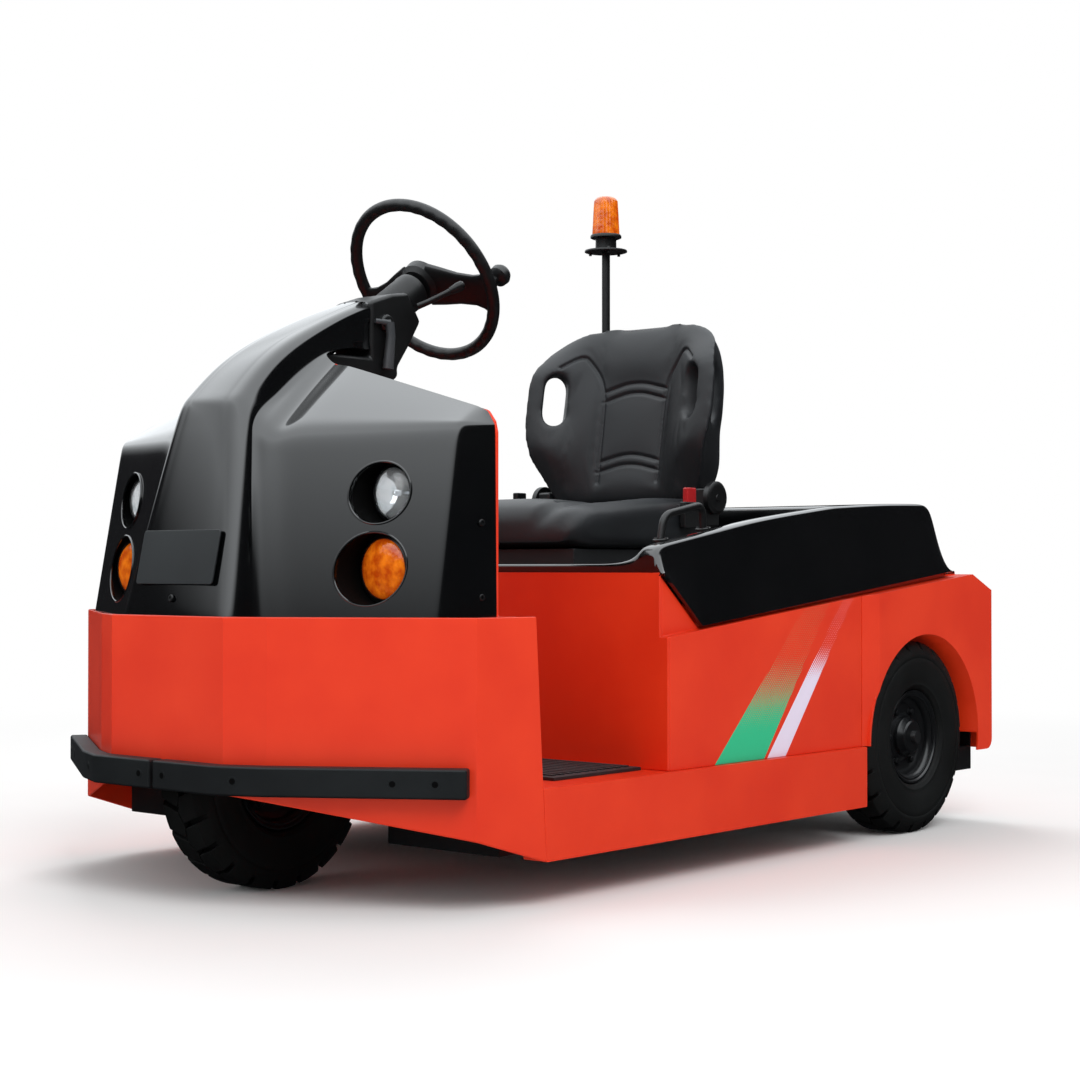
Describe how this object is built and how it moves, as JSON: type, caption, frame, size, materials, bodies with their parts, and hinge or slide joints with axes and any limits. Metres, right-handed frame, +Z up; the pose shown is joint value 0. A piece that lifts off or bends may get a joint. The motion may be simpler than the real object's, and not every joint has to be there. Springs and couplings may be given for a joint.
{
  "type": "airport baggage tug",
  "caption": "Sit-on electric tow tractor with a steered front wheel, red body, black hood, seat on a hinged battery cover and a rear pin hitch.",
  "frame": {"origin": "on the ground at mid length and mid width", "axes": "+X forward, +Y to the vehicle's left, +Z up"},
  "size_m": [2.324, 1.222, 1.648],
  "materials": {
    "red_paint": "gloss orange-red enamel",
    "bumper_rubber": "moulded rubber strip",
    "gloss_black": "gloss black moulding",
    "satin_black": "satin black",
    "clear_lens": "clear ribbed lens",
    "amber_lens": "amber lens",
    "mat_rubber": "ribbed rubber mat",
    "frame_black": "black frame paint",
    "battery_case": "grey battery trough",
    "tyre_rubber": "black tyre rubber",
    "rim_black": "black rim enamel",
    "vinyl": "black stitched vinyl",
    "buckle_red": "red and black buckle",
    "red_lens": "red lens",
    "bright_steel": "bare steel"
  },
  "bodies": {
    "chassis": {"front_apron": "red_paint", "bumper_strips": "bumper_rubber", "bulkhead": "red_paint", "steer_deck": "red_paint", "front_hood": "gloss_black", "hood_plate": "satin_black", "headlamps": "clear_lens", "indicators": "amber_lens", "column_cover": "satin_black", "column_levers": "satin_black", "floor_plate": "red_paint", "floor_mat": "mat_rubber", "pedals": "satin_black", "sill_left": "red_paint", "sill_right": "red_paint", "deck_wall": "red_paint", "side_panel_left": "red_paint", "side_panel_right": "red_paint", "fender_left": "red_paint", "fender_right": "red_paint", "rear_wall": "red_paint", "main_frame": "frame_black", "battery": "battery_case", "drive_motor": "frame_black", "rear_axle": "frame_black", "tail_lamps": "red_lens", "tow_hitch": "frame_black", "tow_pin": "bright_steel"},
    "fork": {"steer_fork": "frame_black"},
    "front_wheel": {"front_tyre": "tyre_rubber", "front_rim": "rim_black"},
    "rear_wheel_left": {"rear_tyre_left": "tyre_rubber", "rear_rim_left": "rim_black"},
    "rear_wheel_right": {"rear_tyre_right": "tyre_rubber", "rear_rim_right": "rim_black"},
    "handwheel": {"steering_wheel": "satin_black"},
    "cover": {"battery_cover": "gloss_black", "grab_handles": "satin_black", "seat_pan": "frame_black", "seat_cushion": "vinyl", "seat_back": "vinyl", "seat_recliners": "satin_black", "belt_buckles": "buckle_red", "beacon_stand": "satin_black", "beacon_lens": "amber_lens"}
  },
  "joints": [
    {"name": "steer", "type": "hinge", "parent": "chassis", "child": "fork", "pos_m": [0.865, 0, 0.233], "axis": [0, 0, 1], "range_deg": [-75, 75]},
    {"name": "front_spin", "type": "hinge", "parent": "fork", "child": "front_wheel", "pos_m": [0.865, 0, 0.233], "axis": [0, 1, 0], "continuous": true},
    {"name": "rear_left_spin", "type": "hinge", "parent": "chassis", "child": "rear_wheel_left", "pos_m": [-0.722, 0.531, 0.233], "axis": [0, 1, 0], "continuous": true},
    {"name": "rear_right_spin", "type": "hinge", "parent": "chassis", "child": "rear_wheel_right", "pos_m": [-0.722, -0.531, 0.233], "axis": [0, 1, 0], "continuous": true},
    {"name": "hand_steer", "type": "hinge", "parent": "chassis", "child": "handwheel", "pos_m": [0.403, 0, 1.282], "axis": [-0.829, 0, 0.5592], "range_deg": [-905, 905]},
    {"name": "cover_tilt", "type": "hinge", "parent": "chassis", "child": "cover", "pos_m": [-0.9263, 0, 0.6483], "axis": [0, -1, 0], "range_deg": [0, 60]}
  ],
  "couplings": [
    {"joint": "hand_steer", "follows": "steer", "ratio": 12}
  ]
}
